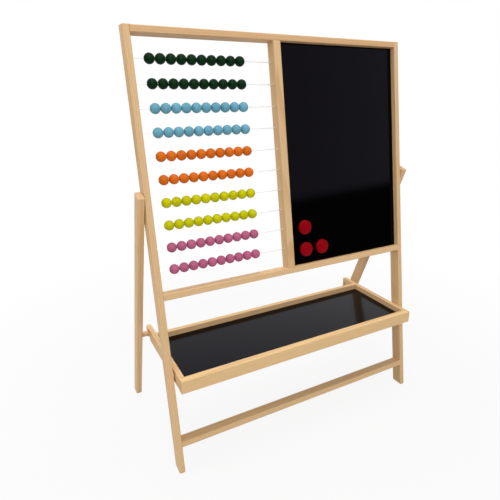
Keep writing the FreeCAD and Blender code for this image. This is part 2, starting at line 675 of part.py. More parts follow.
def tray_pivots():
    """The pins in the stiles that the tray turns on, and a spacer ring on each."""
    centre = [(STILE_MIDDLE, TRAY_PIVOT_ALONG)]
    pins = new_body("tray_pivot_pins", FRAME)
    spacers = new_body("tray_pivot_spacers", FRAME)
    gap = f"({INNER} - {TRAY_HALF})"
    for side, name in SIDES:
        start = level_x(side, f"({INNER} + tray_pin_socket - end_play)")
        length = f"tray_pin_socket + {gap} + tray_pin_reach - 2 * end_play"
        rods(pins, f"tray_pin_{name}", start, centre, "tray_pin_diameter", length, -side)
        rods(spacers, f"tray_spacer_{name}", level_x(side, INNER), centre,
             "tray_spacer_diameter", f"{gap} - side_play", -side)
    for side, name in SIDES:
        holes(spacers, f"tray_spacer_bore_{name}", level_x(side, INNER), centre,
              loose("tray_pin_diameter"), f"{gap} - side_play", -side)


def tray():
    tray_cross_rails()
    for side, name in SIDES:
        side_rail(side, name)
    tray_panel()
    tray_dowels()
    tray_pivots()


# ---- magnets -----------------------------------------------------------------

MAGNET_SPOTS = [("magnet_near", "magnet_high"), ("magnet_near", "magnet_low"),
                ("magnet_far", "magnet_low")]
CENTRE = [("0", "0")]


def on_board(along):
    """The place of a piece whose own Z points straight out of the board."""
    depth = "(board_recess - magnet_lift)"
    y = f"({along} * sin(lean_angle) + {depth} * cos(lean_angle) + {ORIGIN_Y})"
    z = f"({along} * cos(lean_angle) - {depth} * sin(lean_angle))"
    return Place("90 - lean_angle", y, z)


def round_rim(body):
    """Round the edge of the cap's face."""
    doc.recompute()
    tip = body.Tip
    top = tip.Shape.BoundBox.ZMax
    names = [f"Edge{number}" for number, edge in enumerate(tip.Shape.Edges, start=1)
             if abs(edge.BoundBox.ZMin - top) < 0.001]
    fillet = body.newObject("PartDesign::Fillet", f"{body.Name}_rim")
    fillet.Base = (tip, names)
    fillet.setExpression("Radius", formula("magnet_round"))


def magnet(across, along, number):
    """A plastic cap with the magnet disc let into its underside."""
    place = on_board(along)
    board_side = Flat("XY_Plane", "0")
    cap = new_body(f"magnet_cap_{number}", place)
    rods(cap, f"magnet_cap_{number}_side", board_side, CENTRE, "magnet_diameter",
         "magnet_thickness", 1)
    round_rim(cap)
    holes(cap, f"magnet_cap_{number}_recess", board_side, CENTRE,
          loose("disc_diameter"), "disc_thickness", 1)
    disc = new_body(f"magnet_disc_{number}", place)
    rods(disc, f"magnet_disc_{number}_side", board_side, CENTRE, "disc_diameter",
         "disc_thickness", 1)
    for body in (cap, disc):
        body.setExpression("Placement.Base.x", formula(across))


def magnets():
    for number, (across, along) in enumerate(MAGNET_SPOTS, start=1):
        magnet(across, along, number)


# ---- checks and files --------------------------------------------------------

def check_model(bodies):
    """Stop at a failed object, a bad shape or a pocket that cuts nothing."""
    for item in doc.Objects:
        if "Invalid" in item.State or "Error" in item.State:
            raise RuntimeError(f"{item.Name} failed: {item.State}")
        if item.TypeId == "PartDesign::Pocket":
            before = item.BaseFeature.Shape.Volume
            if item.Shape.Volume > before - 0.01:
                raise RuntimeError(f"{item.Name} cuts nothing")
    for body in bodies:
        if body.Shape.isNull() or not body.Shape.isValid():
            raise RuntimeError(f"{body.Label} has a bad shape")


def write_parts(bodies):
    os.makedirs("parts", exist_ok=True)
    for body in bodies:
        body.Shape.exportStep(os.path.join("parts", f"{body.Label}.step"))


def main():
    fill_sheet()
    stiles()
    rails()
    middle_stile()
    frame_dowels()
    board()
    abacus()
    rear_legs()
    tray()
    magnets()
    doc.recompute()
    bodies = [item for item in doc.Objects if item.TypeId == "PartDesign::Body"]
    check_model(bodies)
    write_parts(bodies)


main()
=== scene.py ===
import math
import bpy
import bmesh
from mathutils import Euler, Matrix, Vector


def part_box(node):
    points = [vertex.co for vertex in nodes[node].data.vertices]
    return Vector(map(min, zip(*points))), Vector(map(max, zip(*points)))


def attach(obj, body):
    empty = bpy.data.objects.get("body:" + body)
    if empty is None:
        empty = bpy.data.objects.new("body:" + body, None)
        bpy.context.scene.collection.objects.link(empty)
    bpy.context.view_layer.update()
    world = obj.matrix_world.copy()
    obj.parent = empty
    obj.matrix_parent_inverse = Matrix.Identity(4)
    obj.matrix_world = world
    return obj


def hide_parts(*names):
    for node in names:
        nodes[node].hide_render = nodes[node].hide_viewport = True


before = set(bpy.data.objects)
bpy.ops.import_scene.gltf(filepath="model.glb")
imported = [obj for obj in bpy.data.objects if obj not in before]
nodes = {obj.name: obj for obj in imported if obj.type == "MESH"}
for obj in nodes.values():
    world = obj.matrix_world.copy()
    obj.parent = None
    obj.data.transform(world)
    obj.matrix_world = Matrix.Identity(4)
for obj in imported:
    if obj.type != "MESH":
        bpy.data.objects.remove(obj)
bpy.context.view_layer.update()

# A child's easel: a leaning front frame with an abacus beside a black magnetic
# board, two rear legs, a tray hooked on their pegs, and three round magnets.
# Sizes are in metres.
MM = 0.001
LEAN = math.radians(10.2)
LEG_TILT = math.radians(19.9)
UPRIGHT = math.radians(90)


# ---- colours and nodes -------------------------------------------------------

def linear(code):
    """The linear colour of an sRGB hex value."""
    parts = [int(code[start:start + 2], 16) / 255 for start in (0, 2, 4)]
    return [part / 12.92 if part <= 0.04045 else ((part + 0.055) / 1.055) ** 2.4
            for part in parts] + [1.0]


def add(tree, kind, values=None, links=None, stops=(), **properties):
    """Add a node with its properties, its socket values and the links into it. A grey
    ramp's stops are each a place and a level."""
    node = tree.nodes.new(kind)
    for name, value in properties.items():
        setattr(node, name, value)
    for socket, value in (values or {}).items():
        node.inputs[socket].default_value = value
    for socket, source in (links or {}).items():
        tree.links.new(source, node.inputs[socket])
    if stops:
        elements = node.color_ramp.elements
        while len(elements) < len(stops):
            elements.new(1.0)
        for element, (place, level) in zip(elements, stops):
            element.position = place
            element.color = (level, level, level, 1.0)
    return node


def new_material(name, finish):
    """A material with only a shader, set to its plain numbers, and its output."""
    material = bpy.data.materials.new(name)
    material.use_nodes = True
    tree = material.node_tree
    tree.nodes.clear()
    shader = add(tree, "ShaderNodeBsdfPrincipled", finish)
    add(tree, "ShaderNodeOutputMaterial", links={"Surface": shader.outputs["BSDF"]})
    return material, tree, shader


# ---- timber ------------------------------------------------------------------

# Bare wood and the lacquer on it bend light alike.
WOOD_IOR = 1.48
# The yearly rings of such pine are nearer 3 mm apart and its fibres finer still. Both
# are drawn wide enough to show at arm's length.
RING = 4.2 * MM
FIBRE = 1.1 * MM
# How far the rings bend off their circles, and over what width.
RING_BEND = 11 * MM
WANDER = 70 * MM
# The width of a board's paler and darker stretches.
TONE = 200 * MM
# How wide the bends and stretches, and the fibres, are for their length along the log.
WANDER_STRETCH = 0.12
FIBRE_STRETCH = 0.025
# How dark the wood is through one year, from spring to spring.
YEAR_OF_WOOD = [(0.0, 0.10), (0.45, 0.16), (0.82, 0.85), (0.92, 0.80), (1.0, 0.10)]
# How squarely a face looks along the log where end grain begins to show and where it
# shows in full, and how light it then is beside the planed faces.
END_BEGINS = 0.80
END_FULL = 0.92
END_LIGHTNESS = 0.82
# How high the fibres stand beside the late wood.
FIBRE_RELIEF = 0.35


def late_wood(tree, along, wander):
    """How dark the late wood is: rings round the pith that bend a little, and each year's
    has a strength of its own."""
    drift = add(tree, "ShaderNodeTexNoise", {"Scale": 1 / WANDER, "Detail": 2.0},
                {"Vector": wander.outputs["Vector"]})
    across = add(tree, "ShaderNodeVectorMath", {1: (1.0, 1.0, 0.0)},
                 {0: along.outputs["Vector"]}, operation="MULTIPLY")
    radius = add(tree, "ShaderNodeVectorMath", links={0: across.outputs["Vector"]},
                 operation="LENGTH")
    bent = add(tree, "ShaderNodeMath", {1: RING_BEND}, {0: drift.outputs["Fac"],
               2: radius.outputs["Value"]}, operation="MULTIPLY_ADD")
    years = add(tree, "ShaderNodeMath", {1: RING}, {0: bent.outputs["Value"]},
                operation="DIVIDE")
    season = add(tree, "ShaderNodeMath", links={0: years.outputs["Value"]},
                 operation="FRACT")
    ring = add(tree, "ShaderNodeValToRGB", links={"Fac": season.outputs["Value"]},
               stops=YEAR_OF_WOOD)
    year = add(tree, "ShaderNodeMath", links={0: years.outputs["Value"]},
               operation="FLOOR")
    chance = add(tree, "ShaderNodeTexWhiteNoise", links={"W": year.outputs["Value"]},
                 noise_dimensions="1D")
    strength = add(tree, "ShaderNodeMapRange", {"To Min": 0.25, "To Max": 0.8},
                   {"Value": chance.outputs["Value"]})
    return add(tree, "ShaderNodeMath", links={0: ring.outputs["Color"],
               1: strength.outputs["Result"]}, operation="MULTIPLY")


def planed_shade(tree, fibre, wander):
    """The fine light and dark of the fibres, over the broad tones of the board."""
    stretches = add(tree, "ShaderNodeTexNoise", {"Scale": 1 / TONE, "Detail": 1.0},
                    {"Vector": wander.outputs["Vector"]})
    fine = add(tree, "ShaderNodeMapRange", {"From Min": 0.3, "From Max": 0.7,
               "To Min": 0.93, "To Max": 1.04}, {"Value": fibre.outputs["Fac"]})
    broad = add(tree, "ShaderNodeMapRange", {"From Min": 0.35, "From Max": 0.65,
                "To Min": 0.96, "To Max": 1.03}, {"Value": stretches.outputs["Fac"]})
    return add(tree, "ShaderNodeMath", links={0: fine.outputs["Result"],
               1: broad.outputs["Result"]}, operation="MULTIPLY")


def end_grain(tree, place, turn):
    """1 on the planed faces, and less where the log is cut across and soaks up lacquer."""
    facing = add(tree, "ShaderNodeMapping", {"Rotation": turn},
                 {"Vector": place.outputs["Normal"]}, vector_type="NORMAL")
    endwise = add(tree, "ShaderNodeSeparateXYZ",
                  links={"Vector": facing.outputs["Vector"]})
    sawn = add(tree, "ShaderNodeMath", links={0: endwise.outputs["Z"]},
               operation="ABSOLUTE")
    return add(tree, "ShaderNodeMapRange", {"From Min": END_BEGINS, "From Max": END_FULL,
               "To Min": 1.0, "To Max": END_LIGHTNESS}, {"Value": sawn.outputs["Value"]})


def planed_pine(name, turn, pith, early, late):
    """Pine planed square and given clear satin lacquer: pale early wood and darker late
    wood in long lines, with darker end grain where a piece is cut across."""
    material, tree, shader = new_material(name, {"IOR": WOOD_IOR,
                                                 "Specular IOR Level": 0.2})
    place = add(tree, "ShaderNodeTexCoord")
    along = add(tree, "ShaderNodeMapping", {"Rotation": turn, "Location": pith},
                {"Vector": place.outputs["Object"]})
    wander = add(tree, "ShaderNodeMapping", {"Scale": (1.0, 1.0, WANDER_STRETCH)},
                 {"Vector": along.outputs["Vector"]})
    dark = late_wood(tree, along, wander)
    drawn_out = add(tree, "ShaderNodeMapping", {"Scale": (1.0, 1.0, FIBRE_STRETCH)},
                    {"Vector": along.outputs["Vector"]})
    fibre = add(tree, "ShaderNodeTexNoise", {"Scale": 1 / FIBRE, "Detail": 3.0,
                "Roughness": 0.6}, {"Vector": drawn_out.outputs["Vector"]})
    planed = planed_shade(tree, fibre, wander)
    soaked = end_grain(tree, place, turn)
    shade = add(tree, "ShaderNodeMath", links={0: planed.outputs["Value"],
                1: soaked.outputs["Result"]}, operation="MULTIPLY")
    wood = add(tree, "ShaderNodeMix", {"A": linear(early), "B": linear(late)},
               {"Factor": dark.outputs["Value"]}, data_type="RGBA")
    colour = add(tree, "ShaderNodeVectorMath", links={0: wood.outputs["Result"],
                 "Scale": shade.outputs["Value"]}, operation="SCALE")
    tree.links.new(colour.outputs["Vector"], shader.inputs["Base Color"])
    gloss = add(tree, "ShaderNodeMapRange", {"To Min": 0.50, "To Max": 0.38},
                {"Value": dark.outputs["Value"]})
    tree.links.new(gloss.outputs["Result"], shader.inputs["Roughness"])
    height = add(tree, "ShaderNodeMath", {1: FIBRE_RELIEF}, {0: fibre.outputs["Fac"],
                 2: dark.outputs["Value"]}, operation="MULTIPLY_ADD")
    relief = add(tree, "ShaderNodeBump", {"Strength": 0.25, "Distance": 0.12 * MM},
                 {"Height": height.outputs["Value"]})
    tree.links.new(relief.outputs["Normal"], shader.inputs["Normal"])
    return material


# The dark flecks of beech's rays, how wide they are for their length, and its fainter
# clouds.
FLECK = 1.8 * MM
FLECK_STRETCH = 0.16
PORES = 8 * MM


def turned_beech_with_painted_shade(name, turn):
    """Bare beech turned to a peg or a dowel: even, a little redder than the pine, with
    the short dark flecks of its rays. Its ground is also a little greyer than bare beech,
    which is painted shade for the shaded pegs."""
    material, tree, shader = new_material(name, {"Roughness": 0.55, "IOR": WOOD_IOR})
    place = add(tree, "ShaderNodeTexCoord")
    along = add(tree, "ShaderNodeMapping", {"Rotation": turn,
                "Scale": (1.0, 1.0, FLECK_STRETCH)}, {"Vector": place.outputs["Object"]})
    fleck = add(tree, "ShaderNodeTexVoronoi", {"Scale": 1 / FLECK},
                {"Vector": along.outputs["Vector"]})
    rays = add(tree, "ShaderNodeValToRGB", links={"Fac": fleck.outputs["Distance"]},
               stops=[(0.08, 1.0), (0.2, 0.0)])
    cloud = add(tree, "ShaderNodeTexNoise", {"Scale": 1 / PORES, "Detail": 3.0},
                {"Vector": along.outputs["Vector"]})
    # Beech's own colours, made a little greyer as painted shade for the pegs, which sit in
    # shade.
    ground = add(tree, "ShaderNodeMix", {"A": linear("CBA67B"), "B": linear("D8B58A")},
                 {"Factor": cloud.outputs["Fac"]}, data_type="RGBA")
    colour = add(tree, "ShaderNodeMix", {"B": linear("B08A5E")},
                 {"A": ground.outputs["Result"], "Factor": rays.outputs["Color"]},
                 data_type="RGBA")
    tree.links.new(colour.outputs["Result"], shader.inputs["Base Color"])
    relief = add(tree, "ShaderNodeBump", {"Strength": 0.2, "Distance": 0.1 * MM},
                 {"Height": cloud.outputs["Fac"]})
    tree.links.new(relief.outputs["Normal"], shader.inputs["Normal"])
    return material


# ---- board and tray ----------------------------------------------------------

# The length of one wave of the wave texture at scale 1.
WAVE = math.pi / 10
ENAMEL_RIPPLE = 9 * MM
WIPE_MARKS = 140 * MM
FIBRE_LENGTH = 2.2 * MM
# How much the fibres count in the board's brown, beside its clouds.
FIBRE_SHARE = 0.4
PULP_CLOUD = 90 * MM
# The press's screen has about 1.5 mm from wire to wire. It is drawn twice as coarse, so
# that it shows.
SCREEN_PITCH = 3 * MM
LAMINATE_HAZE = 110 * MM
LAMINATE_THICKNESS = 0.6 * MM
FIBREBOARD_ROUGHNESS = 0.8


def enamelled_steel():
    """Steel sheet with black enamel, fused smooth: a near mirror, a little blue, with a
    faint ripple and fainter wipe marks."""
    material, tree, shader = new_material("enamelled_steel", {
        "IOR": 1.5, "Specular IOR Level": 0.08, "Specular Tint": (0.78, 0.68, 1.0, 1.0)})
    place = add(tree, "ShaderNodeTexCoord")
    ripple = add(tree, "ShaderNodeTexNoise", {"Scale": 1 / ENAMEL_RIPPLE, "Detail": 1.0},
                 {"Vector": place.outputs["Object"]})
    relief = add(tree, "ShaderNodeBump", {"Strength": 0.12, "Distance": 0.02 * MM},
                 {"Height": ripple.outputs["Fac"]})
    tree.links.new(relief.outputs["Normal"], shader.inputs["Normal"])
    smear = add(tree, "ShaderNodeTexNoise", {"Scale": 1 / WIPE_MARKS, "Detail": 4.0},
                {"Vector": place.outputs["Object"]})
    gloss = add(tree, "ShaderNodeMapRange", {"To Min": 0.03, "To Max": 0.08},
                {"Value": smear.outputs["Fac"]})
    tree.links.new(gloss.outputs["Result"], shader.inputs["Roughness"])
    tint = add(tree, "ShaderNodeMix", {"A": linear("020202"), "B": linear("040405")},
               {"Factor": smear.outputs["Fac"]}, data_type="RGBA")
    tree.links.new(tint.outputs["Result"], shader.inputs["Base Color"])
    return material


def pressed_fibre(tree, place):
    """The brown of hardboard: short fibres about 2 mm long, and paler and darker clouds
    as wide as a hand, where the pulp lay thinner or thicker."""
    fibres = add(tree, "ShaderNodeTexNoise", {"Scale": 1 / FIBRE_LENGTH, "Detail": 5.0,
                 "Roughness": 0.7}, {"Vector": place.outputs["Object"]})
    pulp = add(tree, "ShaderNodeTexNoise", {"Scale": 1 / PULP_CLOUD, "Detail": 5.0,
               "Roughness": 0.6}, {"Vector": place.outputs["Object"]})
    cloud = add(tree, "ShaderNodeMapRange", {"From Min": 0.35, "From Max": 0.65,
                "To Min": 0.15, "To Max": 0.6}, {"Value": pulp.outputs["Fac"]})
    depth = add(tree, "ShaderNodeMath", {1: FIBRE_SHARE}, {0: fibres.outputs["Fac"],
                2: cloud.outputs["Result"]}, operation="MULTIPLY_ADD")
    return add(tree, "ShaderNodeMix", {"A": linear("73543A"), "B": linear("A9845C")},
               {"Factor": depth.outputs["Value"]}, data_type="RGBA")


def screen_pressed(tree, place):
    """The height of the fine mesh that the press leaves on the back of hardboard."""
    threads = {"Scale": WAVE / SCREEN_PITCH, "Distortion": 0.6}
    warp = add(tree, "ShaderNodeTexWave", threads, {"Vector": place.outputs["Object"]},
               bands_direction="X")
    weft = add(tree, "ShaderNodeTexWave", threads, {"Vector": place.outputs["Object"]},
               bands_direction="Z")
    return add(tree, "ShaderNodeMath", links={0: warp.outputs["Fac"],
               1: weft.outputs["Fac"]}, operation="MULTIPLY")


def hardboard():
    """Pressed wood fibre, brown and matt, with the press's fine mesh on its back."""
    material, tree, shader = new_material("hardboard", {
        "Roughness": FIBREBOARD_ROUGHNESS, "IOR": 1.45})
    place = add(tree, "ShaderNodeTexCoord")
    tint = pressed_fibre(tree, place)
    tree.links.new(tint.outputs["Result"], shader.inputs["Base Color"])
    mesh = screen_pressed(tree, place)
    relief = add(tree, "ShaderNodeBump", {"Strength": 0.5, "Distance": 0.3 * MM},
                 {"Height": mesh.outputs["Value"]})
    tree.links.new(relief.outputs["Normal"], shader.inputs["Normal"])
    return material


def black_laminate():
    """Hardboard with a black laminate face: softer and bluer mirroring than enamel's
    above, brown and matt beneath."""
    material, tree, shader = new_material("black_laminate", {
        "IOR": 1.5, "Specular IOR Level": 0.13, "Specular Tint": (0.72, 0.66, 1.0, 1.0)})
    place = add(tree, "ShaderNodeTexCoord")
    level = add(tree, "ShaderNodeSeparateXYZ", links={"Vector": place.outputs["Object"]})
    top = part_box("tray_panel")[1][2]
    face = add(tree, "ShaderNodeMath", {1: top - LAMINATE_THICKNESS},
               {0: level.outputs["Z"]}, operation="GREATER_THAN")
    brown = pressed_fibre(tree, place)
    haze = add(tree, "ShaderNodeTexNoise", {"Scale": 1 / LAMINATE_HAZE, "Detail": 4.0},
               {"Vector": place.outputs["Object"]})
    black = add(tree, "ShaderNodeMix", {"A": linear("010101"), "B": linear("030304")},
                {"Factor": haze.outputs["Fac"]}, data_type="RGBA")
    tint = add(tree, "ShaderNodeMix", links={"Factor": face.outputs["Value"],
               "A": brown.outputs["Result"], "B": black.outputs["Result"]},
               data_type="RGBA")
    tree.links.new(tint.outputs["Result"], shader.inputs["Base Color"])
    polish = add(tree, "ShaderNodeMapRange", {"To Min": 0.13, "To Max": 0.20},
                 {"Value": haze.outputs["Fac"]})
    rough = add(tree, "ShaderNodeMix", {"A": FIBREBOARD_ROUGHNESS},
                {"Factor": face.outputs["Value"], "B": polish.outputs["Result"]})
    tree.links.new(rough.outputs["Result"], shader.inputs["Roughness"])
    return material


# ---- beads, magnets and metal ------------------------------------------------

# The width of a bead's thicker and thinner patches of lacquer.
LACQUER_CLOUD = 6 * MM
# A turning tool leaves marks about 0.3 mm apart. They are drawn coarser, so that they
# show.
TURNING_MARK = 1.2 * MM
# The flow marks in a moulded cap.
FLOW_MARK = 14 * MM
# The lines that a die leaves on wire are much finer, and are coarser here for the same
# reason. The next number is how wide they are for their length.
DRAWN_LINE = 0.5 * MM
DRAWN_STRETCH = 0.03
FERRITE_GRAIN = 0.8 * MM
NYLON_MOTTLE = 3 * MM


def lacquered_bead(name, code):
    """Turned wood under coloured lacquer: satin, with faint turning marks round the
    wire and a slightly different strength of colour from bead to bead."""
    material, tree, shader = new_material(name, {"IOR": WOOD_IOR,
                                                 "Specular IOR Level": 0.08})
    place = add(tree, "ShaderNodeTexCoord")
    spot = add(tree, "ShaderNodeSeparateXYZ", links={"Vector": place.outputs["Object"]})
    along_wire = add(tree, "ShaderNodeMath", {1: BEAD_PITCH}, {0: spot.outputs["X"]},
                     operation="DIVIDE")
    up_frame = add(tree, "ShaderNodeMath", {1: ROW_PITCH}, {0: spot.outputs["Z"]},
                   operation="DIVIDE")
    bead = add(tree, "ShaderNodeMath", links={0: along_wire.outputs["Value"]},
               operation="FLOOR")
    row = add(tree, "ShaderNodeMath", links={0: up_frame.outputs["Value"]},
              operation="ROUND")
    which = add(tree, "ShaderNodeCombineXYZ", links={"X": bead.outputs["Value"],
                "Y": row.outputs["Value"]})
    chance = add(tree, "ShaderNodeTexWhiteNoise",
                 links={"Vector": which.outputs["Vector"]})
    strength = add(tree, "ShaderNodeMapRange", {"To Min": 0.90, "To Max": 1.06},
                   {"Value": chance.outputs["Value"]})
    cloud = add(tree, "ShaderNodeTexNoise", {"Scale": 1 / LACQUER_CLOUD, "Detail": 3.0},
                {"Vector": place.outputs["Object"]})
    patch = add(tree, "ShaderNodeMapRange", {"To Min": 0.94, "To Max": 1.05},
                {"Value": cloud.outputs["Fac"]})
    both = add(tree, "ShaderNodeMath", links={0: strength.outputs["Result"],
               1: patch.outputs["Result"]}, operation="MULTIPLY")
    colour = add(tree, "ShaderNodeVectorMath", {0: linear(code)[:3]},
                 {"Scale": both.outputs["Value"]}, operation="SCALE")
    tree.links.new(colour.outputs["Vector"], shader.inputs["Base Color"])
    turning = add(tree, "ShaderNodeTexWave", {"Scale": WAVE / TURNING_MARK,
                  "Distortion": 1.5}, {"Vector": place.outputs["Object"]},
                  bands_direction="X")
    relief = add(tree, "ShaderNodeBump", {"Strength": 0.10, "Distance": 0.05 * MM},
                 {"Height": turning.outputs["Fac"]})
    tree.links.new(relief.outputs["Normal"], shader.inputs["Normal"])
    gloss = add(tree, "ShaderNodeMapRange", {"To Min": 0.34, "To Max": 0.46},
                {"Value": cloud.outputs["Fac"]})
    tree.links.new(gloss.outputs["Result"], shader.inputs["Roughness"])
    return material


def moulded_abs(name, early, late):
    """Glossy moulded ABS: a nearly even colour, with the slightest flow marks in it and
    in its gloss."""
    material, tree, shader = new_material(name, {"IOR": 1.53, "Specular IOR Level": 0.05})
    place = add(tree, "ShaderNodeTexCoord")
    flow = add(tree, "ShaderNodeTexNoise", {"Scale": 1 / FLOW_MARK, "Detail": 2.0},
               {"Vector": place.outputs["Object"]})
    tint = add(tree, "ShaderNodeMix", {"A": linear(early), "B": linear(late)},
               {"Factor": flow.outputs["Fac"]}, data_type="RGBA")
    tree.links.new(tint.outputs["Result"], shader.inputs["Base Color"])
    gloss = add(tree, "ShaderNodeMapRange", {"To Min": 0.22, "To Max": 0.34},
                {"Value": flow.outputs["Fac"]})
    tree.links.new(gloss.outputs["Result"], shader.inputs["Roughness"])
    return material


def drawn_steel():
    """Bright drawn steel: pale metal with fine lines along the wire or pin."""
    material, tree, shader = new_material("drawn_steel", {"Metallic": 1.0})
    place = add(tree, "ShaderNodeTexCoord")
    lines = add(tree, "ShaderNodeMapping", {"Scale": (DRAWN_STRETCH, 1.0, 1.0)},
                {"Vector": place.outputs["Object"]})
    marks = add(tree, "ShaderNodeTexNoise", {"Scale": 1 / DRAWN_LINE, "Detail": 2.0},
                {"Vector": lines.outputs["Vector"]})
    tint = add(tree, "ShaderNodeMix", {"A": linear("EFF1F3"), "B": linear("FAFBFC")},
               {"Factor": marks.outputs["Fac"]}, data_type="RGBA")
    tree.links.new(tint.outputs["Result"], shader.inputs["Base Color"])
    gloss = add(tree, "ShaderNodeMapRange", {"To Min": 0.35, "To Max": 0.5},
                {"Value": marks.outputs["Fac"]})
    tree.links.new(gloss.outputs["Result"], shader.inputs["Roughness"])
    return material


def sintered_ferrite():
    """Pressed and sintered ferrite: dark grey, matt and finely grained."""
    material, tree, shader = new_material("sintered_ferrite", {"Roughness": 0.6})
    place = add(tree, "ShaderNodeTexCoord")
    grit = add(tree, "ShaderNodeTexNoise", {"Scale": 1 / FERRITE_GRAIN, "Detail": 4.0},
               {"Vector": place.outputs["Object"]})
    tint = add(tree, "ShaderNodeMix", {"A": linear("303032"), "B": linear("4A4A4D")},
               {"Factor": grit.outputs["Fac"]}, data_type="RGBA")
    tree.links.new(tint.outputs["Result"], shader.inputs["Base Color"])
    return material


def cut_nylon():
    """Spacer rings of natural nylon: cream, slightly waxy."""
    material, tree, shader = new_material("cut_nylon", {"Roughness": 0.45})
    place = add(tree, "ShaderNodeTexCoord")
    mottle = add(tree, "ShaderNodeTexNoise", {"Scale": 1 / NYLON_MOTTLE, "Detail": 2.0},
                 {"Vector": place.outputs["Object"]})
    tint = add(tree, "ShaderNodeMix", {"A": linear("D8CBB2"), "B": linear("E4D9C3")},
               {"Factor": mottle.outputs["Fac"]}, data_type="RGBA")
    tree.links.new(tint.outputs["Result"], shader.inputs["Base Color"])
    return material


# ---- timber of each piece ----------------------------------------------------

# The turn that lays a log's grain along each piece. The plugs show their end grain
# aslant.
ALONG_STILE = (LEAN, 0.0, 0.0)
ALONG_FRAME_RAIL = (LEAN, UPRIGHT, 0.0)
ALONG_LEG = (-LEG_TILT, 0.0, 0.0)
ALONG_PLUG = (-LEG_TILT - math.radians(25), 0.0, 0.0)
ALONG_TRAY_RAIL = (0.0, UPRIGHT, 0.0)
ALONG_TRAY_SIDE = (UPRIGHT, 0.0, 0.0)
# The early and the late wood of three logs. The pale log is painted light: only the tray's
# front rail gets it, to stand in for more light on its upright front.
USUAL_LOG = ("E3BF90", "CE9F69")
PAINTED_LIGHT_LOG = ("EDC995", "D8A76D")
WARM_LOG = ("DFB688", "CA9763")
# Each timber piece, the way its grain runs, and its log.
PINE_PIECES = [
    ("left_stile", ALONG_STILE, USUAL_LOG), ("right_stile", ALONG_STILE, USUAL_LOG),
    ("middle_stile", ALONG_STILE, USUAL_LOG), ("top_rail", ALONG_FRAME_RAIL, WARM_LOG),
    ("mid_rail", ALONG_FRAME_RAIL, USUAL_LOG),
    ("bottom_rail", ALONG_FRAME_RAIL, USUAL_LOG),
    ("left_rear_leg", ALONG_LEG, USUAL_LOG), ("right_rear_leg", ALONG_LEG, USUAL_LOG),
    # Painted light: this rail's paler pine stands in for more light falling on its upright
    # front.
    ("tray_front_rail", ALONG_TRAY_RAIL, PAINTED_LIGHT_LOG),
    ("tray_rear_rail", ALONG_TRAY_RAIL, USUAL_LOG),
    ("tray_left_rail", ALONG_TRAY_SIDE, USUAL_LOG),
    ("tray_right_rail", ALONG_TRAY_SIDE, USUAL_LOG),
    ("left_leg_plug", ALONG_PLUG, WARM_LOG), ("right_leg_plug", ALONG_PLUG, WARM_LOG),
]
# The pith lies at one of four distances from a piece's middle, and each next piece is
# turned round the log by the golden angle and taken a metre further along it.
PITH_NEAR = 38 * MM
PITH_STEP = 6 * MM
PITH_TURN = 2.399
LOG_STEP = 1.0
# No piece is sawn quite along the grain.
LEAST_SLANT = math.radians(0.5)
SLANT_STEP = math.radians(0.3)


def dress(name, material):
    """Put a material on a CAD piece."""
    for place in nodes[name].material_slots:
        place.material = material


def dress_timber():
    """Give every timber piece pine of its own, cut from a different place in the log."""
    for number, (name, turn, log) in enumerate(PINE_PIECES):
        low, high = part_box(name)
        reach = PITH_NEAR + PITH_STEP * (number % 4)
        angle = PITH_TURN * number
        slant = LEAST_SLANT + SLANT_STEP * (number % 3)
        turned = (turn[0] + slant, turn[1] + slant / 2, turn[2])
        middle = (Vector(low) + Vector(high)) / 2
        middle.rotate(Euler(turned))
        pith = Vector((math.cos(angle) * reach, math.sin(angle) * reach,
                       number * LOG_STEP)) - middle
        dress(name, planed_pine(f"pine_{name}", turned, pith, *log))
    for name in ("left_tray_peg", "right_tray_peg", "frame_dowels", "tray_dowels"):
        dress(name, turned_beech_with_painted_shade(f"beech_{name}", ALONG_TRAY_RAIL))


def dress_metal_and_boards():
    """Give the wires, bolts, pins, spacers, panels and magnet discs their materials."""
    steel = drawn_steel()
    for name in nodes:
        if name.startswith(("abacus_wire", "leg_pivot", "tray_pivot_pins")):
            dress(name, steel)
    dress("tray_pivot_spacers", cut_nylon())
    dress("board_steel_face", enamelled_steel())
    dress("board_core", hardboard())
    dress("tray_panel", black_laminate())
    ferrite = sintered_ferrite()
    for number in MAGNETS:
        dress(f"magnet_disc_{number}", ferrite)


# ---- modelled pieces ---------------------------------------------------------

# The radius before smoothing, which draws the ball in by nearly 2 per cent.
BEAD_RADIUS = 12.3 * MM
BEAD_PITCH = 24.7 * MM
BEAD_COUNT = 10
BEAD_SEGMENTS = 24
BEAD_RINGS = 16
BORE_RADIUS = 1.5 * MM
BORE_EASE = 1.02
# How far out the bore's ends lie, beside the rims of the bead that they are drawn from.
BORE_END = 0.955
# From row to row, measured upright.
ROW_PITCH = 53 * MM * math.cos(LEAN)
# Each row's lacquer and its colour, from the top.
ROW_COLOURS = [
    ("bottle_green", "082A11"), ("bottle_green", "082A11"),
    ("sky_blue", "6DA8BD"), ("sky_blue", "6DA8BD"),
    ("tangerine", "DB6D19"), ("tangerine", "DB6D19"),
    ("lime_yellow", "C8C602"), ("lime_yellow", "C8C602"),
    ("mauve_pink", "B86183"), ("mauve_pink", "B86183"),
]
MAGNETS = (1, 2, 3)
CAP_RADIUS = 20 * MM
CAP_RIM = 7.2 * MM
CAP_DOME = 9 * MM
CAP_SEGMENTS = 96
RIM_ROUND = 2.4 * MM
RIM_FLAT = 0.8 * MM
DOME_STEPS = 6
# The dome's middle rises this share of the way from the rim to the cap's full height.
DOME_SHARE = 0.98
DISC_RADIUS = 15.05 * MM
DISC_DEPTH = 5 * MM
# Edges sharper than these stay sharp when the rest is smoothed.
BEAD_CREASE = math.radians(50)
CAP_CREASE = math.radians(40)
# How nearly a vertex, edge or face is at a limit, or a face looks a way, to be picked.
NEAR_LIMIT = 0.99
AT_LIMIT = 0.999


def clear_selection():
    """Leave edit mode and deselect everything."""
    if bpy.context.object and bpy.context.object.mode != "OBJECT":
        bpy.ops.object.mode_set(mode="OBJECT")
    bpy.ops.object.select_all(action="DESELECT")


